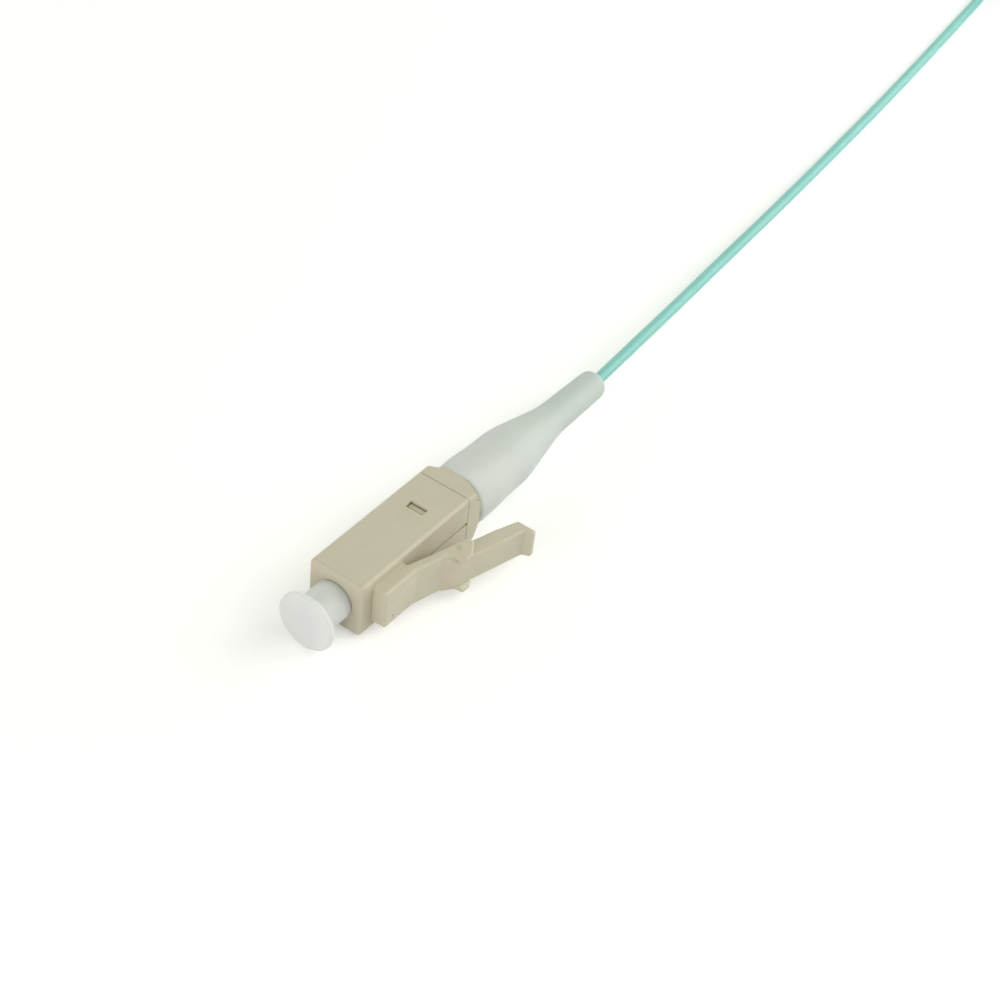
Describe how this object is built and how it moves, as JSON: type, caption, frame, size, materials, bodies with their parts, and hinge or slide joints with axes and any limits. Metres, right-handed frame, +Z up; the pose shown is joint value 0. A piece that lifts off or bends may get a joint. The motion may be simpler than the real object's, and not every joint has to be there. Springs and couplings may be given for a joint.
{
  "type": "lc fibre connector",
  "caption": "Square push-pull fibre optic plug with a bending latch, a tapered boot, a round dust cap and a free thin buffered fibre.",
  "frame": {"origin": "centre of the plug's front face, on the optical axis", "axes": "+X forward, the way the plug goes into its adapter; +Y towards the latch side; +Z up, away from the surface that the part lies on"},
  "size_m": [0.1376, 0.0204, 0.0048],
  "materials": {
    "housing": "fine satin moulded plastic",
    "boot": "satin soft thermoplastic",
    "zirconia": "polished white ceramic",
    "nickel": "turned nickel-plated brass",
    "spring": "drawn stainless wire",
    "tube": "smooth natural plastic",
    "epoxy": "cured amber resin",
    "glass_fibre": "clear drawn silica",
    "coating": "clear acrylate coating",
    "buffer": "satin aqua buffer",
    "cap": "satin translucent white plastic"
  },
  "bodies": {
    "plug_body": {"front_housing": "housing", "rear_body": "housing", "boot": "boot", "buffer_tube": "buffer", "fibre_tail": "buffer", "fibre_coil": "buffer"},
    "latch": {"latch_lever": "housing"},
    "ferrule_unit": {"ferrule": "zirconia", "ferrule_flange": "nickel", "guide_tube": "tube", "fibre_coating": "coating", "bare_fibre": "glass_fibre", "epoxy_fill": "epoxy", "spring": "spring"},
    "cap": {"dust_cap": "cap"}
  },
  "joints": [
    {"name": "latch_flex", "type": "hinge", "parent": "plug_body", "child": "latch", "pos_m": [-0.00456, 0.00306, 0], "axis": [0, 0, 1], "range_deg": [0, 12], "stiffness_Nm_per_rad": 0.12},
    {"name": "ferrule_float", "type": "slide", "parent": "plug_body", "child": "ferrule_unit", "axis": [-1, 0, 0], "range_m": [0, 0.0008], "stiffness_N_per_m": 1000, "deforming": ["spring"]},
    {"name": "dust_cap_slide", "type": "slide", "parent": "plug_body", "child": "cap", "axis": [1, 0, 0], "range_m": [0, 0.008]}
  ]
}
